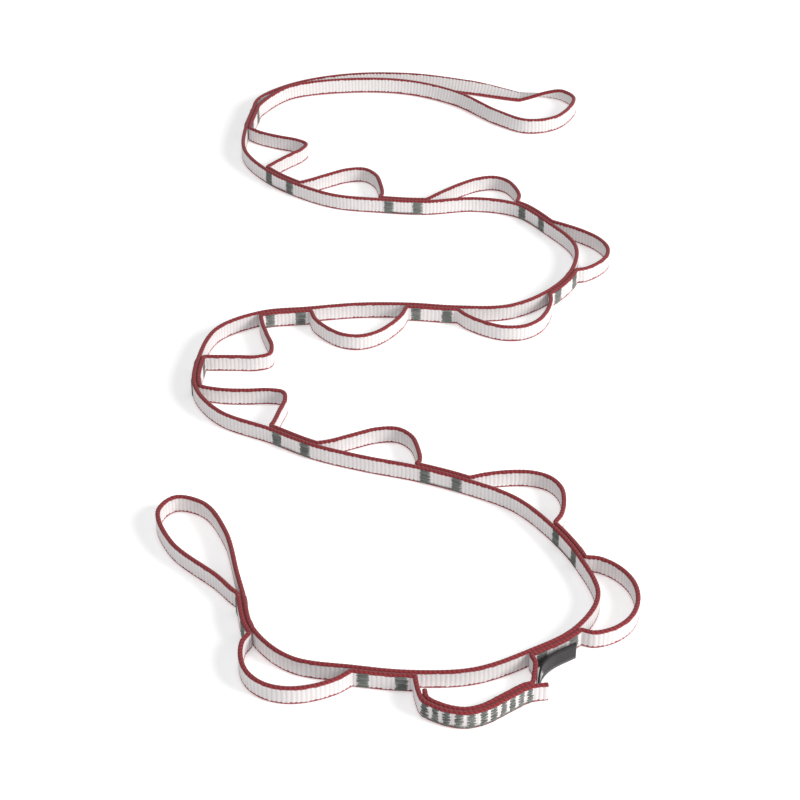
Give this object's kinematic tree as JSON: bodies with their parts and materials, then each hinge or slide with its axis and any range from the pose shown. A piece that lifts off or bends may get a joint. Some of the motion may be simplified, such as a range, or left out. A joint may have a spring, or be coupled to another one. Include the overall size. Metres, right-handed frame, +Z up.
{
  "type": "daisy chain",
  "caption": "Climbing daisy chain: woven strap folded double and bar-tacked into a row of pockets between its end loops, laid on edge in an S.",
  "frame": {"origin": "middle of the laid chain's footprint, on the surface it stands on", "axes": "+Z up across the strap's width; +Y from end loop B at the front to end loop A at the back; +X to the right"},
  "size_m": [0.2558, 0.634, 0.0109],
  "materials": {
    "webbing": "ribbed flat weave, off-white with dark red corded edges",
    "thread": "grey zigzag stitching",
    "label": "black woven label, matte"
  },
  "bodies": {
    "loop_a_section": {"end_loop_a": "webbing", "tack_pair_01": "thread"},
    "segment_01": {"spine_strand_01": "webbing", "pocket_strand_01": "webbing", "tack_pair_02": "thread"},
    "segment_02": {"spine_strand_02": "webbing", "pocket_strand_02": "webbing", "tack_pair_03": "thread"},
    "segment_03": {"spine_strand_03": "webbing", "pocket_strand_03": "webbing", "tack_pair_04": "thread"},
    "segment_04": {"spine_strand_04": "webbing", "pocket_strand_04": "webbing", "tack_pair_05": "thread"},
    "segment_05": {"spine_strand_05": "webbing", "pocket_strand_05": "webbing", "tack_pair_06": "thread"},
    "segment_06": {"spine_strand_06": "webbing", "pocket_strand_06": "webbing", "tack_pair_07": "thread"},
    "segment_07": {"spine_strand_07": "webbing", "pocket_strand_07": "webbing", "tack_pair_08": "thread"},
    "segment_08": {"spine_strand_08": "webbing", "pocket_strand_08": "webbing", "tack_pair_09": "thread"},
    "segment_09": {"spine_strand_09": "webbing", "pocket_strand_09": "webbing", "tack_pair_10": "thread"},
    "segment_10": {"spine_strand_10": "webbing", "pocket_strand_10": "webbing", "tack_pair_11": "thread"},
    "segment_11": {"spine_strand_11": "webbing", "pocket_strand_11": "webbing", "tack_pair_12": "thread"},
    "segment_12": {"spine_strand_12": "webbing", "splice_inner_end": "webbing", "splice_outer_end": "webbing", "splice_stitching": "thread", "label": "label", "tack_pair_13": "thread"},
    "segment_13": {"spine_strand_13": "webbing", "pocket_strand_13": "webbing", "tack_pair_14": "thread"},
    "loop_b": {"end_loop_b": "webbing"}
  },
  "joints": [
    {"name": "flex_01", "type": "hinge", "parent": "segment_01", "child": "loop_a_section", "pos_m": [-0.10226, 0.23985, 0.005], "axis": [0, 0, 1], "range_deg": [-10, 10]},
    {"name": "flex_02", "type": "hinge", "parent": "segment_02", "child": "segment_01", "pos_m": [-0.0678, 0.16693, 0.005], "axis": [0, 0, 1], "range_deg": [-10, 10]},
    {"name": "flex_03", "type": "hinge", "parent": "segment_03", "child": "segment_02", "pos_m": [0.01368, 0.14442, 0.005], "axis": [0, 0, 1], "range_deg": [-10, 10]},
    {"name": "flex_04", "type": "hinge", "parent": "segment_04", "child": "segment_03", "pos_m": [0.09161, 0.12082, 0.005], "axis": [0, 0, 1], "range_deg": [-10, 10]},
    {"name": "flex_05", "type": "hinge", "parent": "segment_05", "child": "segment_04", "pos_m": [0.08951, 0.04089, 0.005], "axis": [0, 0, 1], "range_deg": [-10, 10]},
    {"name": "flex_06", "type": "hinge", "parent": "segment_06", "child": "segment_05", "pos_m": [0.00573, 0.02533, 0.005], "axis": [0, 0, 1], "range_deg": [-10, 10]},
    {"name": "flex_07", "type": "hinge", "parent": "segment_06", "child": "segment_07", "pos_m": [-0.0807, 0.01736, 0.005], "axis": [0, 0, 1], "range_deg": [-5, 12]},
    {"name": "flex_08", "type": "hinge", "parent": "segment_07", "child": "segment_08", "pos_m": [-0.11486, -0.05383, 0.005], "axis": [0, 0, 1], "range_deg": [-5, 12]},
    {"name": "flex_09", "type": "hinge", "parent": "segment_08", "child": "segment_09", "pos_m": [-0.04849, -0.10803, 0.005], "axis": [0, 0, 1], "range_deg": [-5, 12]},
    {"name": "flex_10", "type": "hinge", "parent": "segment_09", "child": "segment_10", "pos_m": [0.03338, -0.13828, 0.005], "axis": [0, 0, 1], "range_deg": [-5, 12]},
    {"name": "flex_11", "type": "hinge", "parent": "segment_10", "child": "segment_11", "pos_m": [0.09132, -0.20125, 0.005], "axis": [0, 0, 1], "range_deg": [-5, 12]},
    {"name": "flex_12", "type": "hinge", "parent": "segment_11", "child": "segment_12", "pos_m": [0.0638, -0.27311, 0.005], "axis": [0, 0, 1], "range_deg": [-5, 5]},
    {"name": "flex_13", "type": "hinge", "parent": "segment_12", "child": "segment_13", "pos_m": [-0.02139, -0.28557, 0.005], "axis": [0, 0, 1], "range_deg": [-5, 12]},
    {"name": "flex_14", "type": "hinge", "parent": "segment_13", "child": "loop_b", "pos_m": [-0.0801, -0.23192, 0.005], "axis": [0, 0, 1], "range_deg": [-5, 12]}
  ]
}
